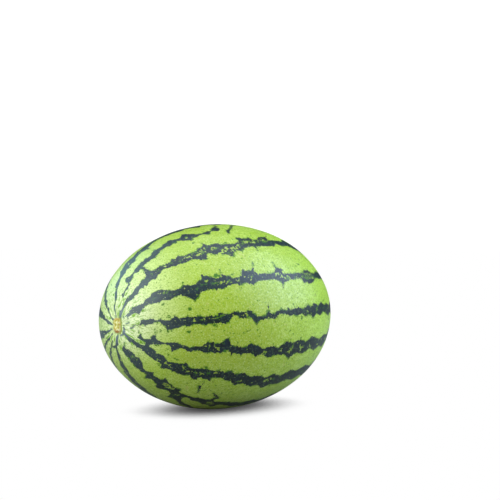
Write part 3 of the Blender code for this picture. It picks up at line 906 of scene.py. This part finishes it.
# Green patches, green borders here and there along the stripes, and lime streaks near
# the stem.
SKIN_GREEN = (0.045, 0.165, 0.001, 1.0)
SKIN_LIME = (0.200, 0.430, 0.008, 1.0)
border = fade(jittered(edge, (clouds, 3.0)), 2.2, 0.3)
border_patches = fade(noise(pattern, 0.0070, dimensions="2D"), 0.48, 0.58, 0.0, 0.85)
green_edge = jittered(attribute("from_green"), (broad, 2.4), (teeth, 2.4), (frill, 2.0))
border = product(border, border_patches)
patchy = fade(noise(pattern, 0.0032, detail=1.0, dimensions="2D"), 0.38, 0.50, 0.30, 1.0)
patches = product(fade(green_edge, 1.0, -0.3), patchy)
green = calculate("MAXIMUM", border, patches)
streaks = fade(noise(pattern, 0.0055, dimensions="2D"), 0.52, 0.66, 0.0, 0.75)
streaks = product(streaks, fade(along_share, 0.17, 0.08))
green = calculate("MAXIMUM", green, streaks)
green_color = blend_color(fade(along_share, 0.17, 0.07, 0.0, 0.9), SKIN_GREEN, SKIN_LIME)
ground = blend_color(green, ground, green_color)

# The stripes' colour: nearly black teal with paler lace and slate flecks, green where a
# patch crosses them, a grey wax bloom that is strongest near the stem and is partly a
# painted sheen, greyer on the upper side and the top, and a pale painted reflection
# close to the stem.
STRIPE_DARK = (0.004, 0.009, 0.011, 1.0)
STRIPE_TEAL = (0.008, 0.020, 0.031, 1.0)
STRIPE_LACE = (0.040, 0.072, 0.042, 1.0)
STRIPE_SLATE = (0.085, 0.140, 0.085, 1.0)
WAX_BLOOM_AND_SHEEN = (0.080, 0.115, 0.135, 1.0)
PALE_BLOOM_AND_REFLECTION = (0.240, 0.320, 0.390, 1.0)
stripe_color = blend_color(fade(noise(place, 0.004), 0.35, 0.7), STRIPE_DARK, STRIPE_TEAL)
lace = noise(pattern, 0.0030, detail=1.5, roughness=0.6, dimensions="2D")
stripe_color = blend_color(fade(lace, 0.56, 0.70, 0.0, 0.70), stripe_color, STRIPE_LACE)
slate = noise(pattern, 0.0025, detail=1.0, dimensions="2D")
stripe_color = blend_color(fade(slate, 0.66, 0.74, 0.0, 0.50), stripe_color, STRIPE_SLATE)
green_inside = fade(green_edge, 0.5, -1.0, 0.0, 0.85)
stripe_color = blend_color(green_inside, stripe_color, green_color)
# Partly wax bloom, partly painted sheen: grey-blue on the stripes near the stem, painted stronger on the
# upper side, with a faint grey over the top.
bloom_and_painted_sheen = fade(jittered(along_share, (blotches, 0.08)), 0.27, 0.12, 0.0, 0.75)
bloom_and_painted_sheen = product(bloom_and_painted_sheen, fade(upward, -0.05, 0.05, 0.5, 1.0))
bloom_and_painted_sheen = calculate("MAXIMUM", bloom_and_painted_sheen, fade(upward, -0.010, 0.035, 0.0, 0.16))
stripe_color = blend_color(bloom_and_painted_sheen, stripe_color, WAX_BLOOM_AND_SHEEN)
# Partly wax bloom, partly painted reflection: a pale grey-blue on the stripes close to the stem scar.
pale_bloom_and_reflection = product(fade(along_share, 0.095, 0.045), fade(teeth, 0.3, 0.7, 0.45, 1.0))
stripe_color = blend_color(pale_bloom_and_reflection, stripe_color, PALE_BLOOM_AND_REFLECTION)
color = blend_color(dark, ground, stripe_color)

# Cork on the stem scar, golden with pale flecks, olive veins, and rust at its lower end
# and its far rim, and a thin painted olive shade just outside its rim on the side that
# faces the front.
CORK_GOLD = (0.560, 0.490, 0.110, 1.0)
CORK_PALE = (0.780, 0.770, 0.430, 1.0)
CORK_RUST = (0.400, 0.170, 0.060, 1.0)
CORK_OLIVE = (0.330, 0.290, 0.020, 1.0)
PAINTED_RIM_SHADE = (0.240, 0.300, 0.010, 1.0)
cork_grain = noise(place, 0.0021, detail=3.0)
scar_edge = calculate("ADD", attribute("scar_share"), product(cork_grain, 0.30))
# Painted shade: a thin olive line just outside the scar's rim, on the side that faces the front.
painted_rim_shade = product(fade(scar_edge, 1.42, 1.28), fade(frontward, -0.004, 0.004, 0.15, 0.90))
color = blend_color(painted_rim_shade, color, PAINTED_RIM_SHADE)
cork_color = blend_color(fade(cork_grain, 0.50, 0.58), CORK_GOLD, CORK_PALE)
cork_color = blend_color(fade(cork_grain, 0.45, 0.36, 0.0, 0.8), cork_color, CORK_OLIVE)
rusty_rim = product(
    fade(scar_edge, 0.80, 1.05),
    fade(frontward, 0.002, -0.006, 0.30, 0.80),
)
rusty_end = fade(jittered(upward, (cork_grain, 0.006)), -0.0040, -0.0068, 0.0, 0.85)
rust = calculate("MAXIMUM", rusty_rim, rusty_end)
cork_color = blend_color(rust, cork_color, CORK_RUST)
cork = fade(scar_edge, 1.22, 1.10)
color = blend_color(cork, color, cork_color)

# The blossom scar at the other end is a small dry brown disc in a pale ring.
BLOSSOM_BROWN = (0.190, 0.120, 0.045, 1.0)
BLOSSOM_RING = (0.620, 0.640, 0.300, 1.0)
from_axis = calculate("ADD", product(frontward, frontward), product(upward, upward))
from_axis = calculate("SQRT", from_axis)
beyond_blossom = fade(split.outputs["X"], 0.12, 0.10)  # keeps the stem end out of reach
from_blossom = calculate("ADD", from_axis, beyond_blossom)
from_blossom = jittered(from_blossom, (cork_grain, 0.0020))
color = blend_color(fade(from_blossom, 0.0075, 0.0045, 0.0, 0.75), color, BLOSSOM_RING)
blossom_color = blend_color(fade(cork_grain, 0.42, 0.62), BLOSSOM_BROWN, CORK_GOLD)
color = blend_color(fade(from_blossom, 0.0040, 0.0032), color, blossom_color)

SKIN_ROUGHNESS = 0.36
CORK_ROUGHNESS = 0.70
gloss = jittered(fade(cork, 0.0, 1.0, SKIN_ROUGHNESS, CORK_ROUGHNESS), (mottle, 0.10))
put(shader, {"Base Color": color, "Roughness": gloss})
shader.inputs["Specular IOR Level"].default_value = 0.45

grain = tree.nodes.new("ShaderNodeBump")
height = calculate("ADD", noise(place, 0.0016), product(clouds, 2.0))
put(grain, {"Strength": 0.25, "Distance": 0.0004, "Height": height})
put(shader, {"Normal": grain.outputs["Normal"]})

rind.data.materials.clear()
rind.data.materials.append(skin)
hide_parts("watermelon")
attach(rind, "root")


# ---------------------------------------------------------------- the studio
# A plain white floor that glows white to the eye, with a painted soft contact shadow
# where it is sheltered, a camera that looks at the stem end, and soft lights round the
# fruit: cool ones at the left and a strong one at the right, weak fill from the front,
# and an even light from above.

FLOOR_HALF = 6.0
bpy.ops.object.select_all(action="DESELECT")
bpy.ops.mesh.primitive_plane_add(size=2 * FLOOR_HALF)
floor = bpy.context.object
floor.name = "floor"
floor_paint = bpy.data.materials.new("white_floor")
floor_paint.use_nodes = True
tree = floor_paint.node_tree
shader = tree.nodes["Principled BSDF"]
seen = tree.nodes.new("ShaderNodeLightPath").outputs["Is Camera Ray"]
SHADOW_REACH = 0.11  # nothing farther than this darkens the floor
OPEN_FLOOR = 0.47  # openness at which the shadow ends
SHADOW_DARKEST = 0.05
BOUNCE_GREY = (0.28, 0.28, 0.28, 1.0)  # the floor as it throws light back on the fruit
BLACK = (0.0, 0.0, 0.0, 1.0)
# Painted shadow: the floor glows white to the eye and is darkened where it is sheltered from the open sky,
# not by the lamps.
openness = tree.nodes.new("ShaderNodeAmbientOcclusion")
put(openness, {"Distance": SHADOW_REACH})
glow_with_painted_shadow = fade(openness.outputs["AO"], 0.0, OPEN_FLOOR, SHADOW_DARKEST, 1.0)
put(
    shader,
    {
        "Base Color": blend_color(seen, BOUNCE_GREY, BLACK),
        "Emission Color": (1.0, 1.0, 1.0, 1.0),
        "Emission Strength": product(glow_with_painted_shadow, seen),
        "Roughness": 1.0,
        "Specular IOR Level": 0.0,
    },
)
floor.data.materials.append(floor_paint)

CAMERA_TURN = math.radians(-46.97)
CAMERA_RISE = math.radians(4.24)
CAMERA_DISTANCE = 1.357
backward = Vector(
    (
        math.sin(CAMERA_TURN) * math.cos(CAMERA_RISE),
        -math.cos(CAMERA_TURN) * math.cos(CAMERA_RISE),
        math.sin(CAMERA_RISE),
    )
)
rightward = Vector((math.cos(CAMERA_TURN), math.sin(CAMERA_TURN), 0.0))
upward_axis = backward.cross(rightward)
fruit_middle = Vector((0.0, 0.0, AXIS_HEIGHT))

camera = bpy.data.objects.new("camera", bpy.data.cameras.new("camera"))
bpy.context.scene.collection.objects.link(camera)
camera.location = fruit_middle + backward * CAMERA_DISTANCE
camera.rotation_euler = backward.to_track_quat("Z", "Y").to_euler()
camera.data.sensor_width = 36.0
camera.data.lens = 94.9
camera.data.shift_x = 0.0636
camera.data.shift_y = 0.1328
camera.data.clip_end = 50.0
bpy.context.scene.camera = camera


LIGHT_DISTANCE = 1.5


def soft_light(name, right, up, back, size, power, color, reflected=True):
    """A square light that shines on the fruit from this direction, as the camera sees it.

    One that is not reflected brightens the skin and leaves no gloss on it.
    """
    direction = (rightward * right + upward_axis * up + backward * back).normalized()
    lamp = bpy.data.lights.new(name, "AREA")
    lamp.shape = "SQUARE"
    lamp.size = size
    lamp.energy = power
    lamp.color = color
    light = bpy.data.objects.new(name, lamp)
    bpy.context.scene.collection.objects.link(light)
    light.location = fruit_middle + direction * LIGHT_DISTANCE
    light.rotation_euler = direction.to_track_quat("Z", "Y").to_euler()
    light.visible_glossy = reflected


soft_light("left", -0.80, 0.55, 0.30, 1.2, 7.6, (0.82, 0.98, 1.0))
soft_light("front_left", -0.55, 0.35, 0.75, 1.2, 10.3, (0.94, 1.0, 0.98))
soft_light("low_left", -0.90, -0.02, 0.40, 1.0, 5.5, (1.0, 0.97, 0.70))
soft_light("back_left", -0.65, 0.55, -0.50, 1.2, 6.9, (0.49, 0.89, 1.0))
soft_light("right", 0.82, 0.50, -0.05, 1.35, 21.5, (0.64, 0.80, 1.0))
soft_light("right_fill", 0.95, 0.20, 0.05, 1.2, 8.0, (0.86, 1.0, 0.92), reflected=False)
soft_light("front_fill", 0.0, -0.04, 1.0, 1.5, 10.8, (1.0, 0.95, 0.80), reflected=False)

overhead = bpy.data.objects.new("overhead", bpy.data.lights.new("overhead", "SUN"))
bpy.context.scene.collection.objects.link(overhead)
overhead.data.energy = 2.0
overhead.data.angle = math.radians(75)
overhead.data.color = (0.80, 0.92, 1.0)

world = bpy.data.worlds.new("studio")
world.use_nodes = True
sky_nodes = world.node_tree.nodes
sky_links = world.node_tree.links
sky = sky_nodes["Background"]
sky.inputs["Color"].default_value = (1.0, 1.0, 1.0, 1.0)
is_seen = sky_nodes.new("ShaderNodeLightPath")
SEEN_STRENGTH = 1.1  # white to the eye, though the backdrop lights nothing
strength = sky_nodes.new("ShaderNodeMapRange")
strength.inputs["To Min"].default_value = 0.0
strength.inputs["To Max"].default_value = SEEN_STRENGTH
sky_links.new(is_seen.outputs["Is Camera Ray"], strength.inputs["Value"])
sky_links.new(strength.outputs["Result"], sky.inputs["Strength"])
bpy.context.scene.world = world
bpy.context.scene.view_settings.view_transform = "Standard"
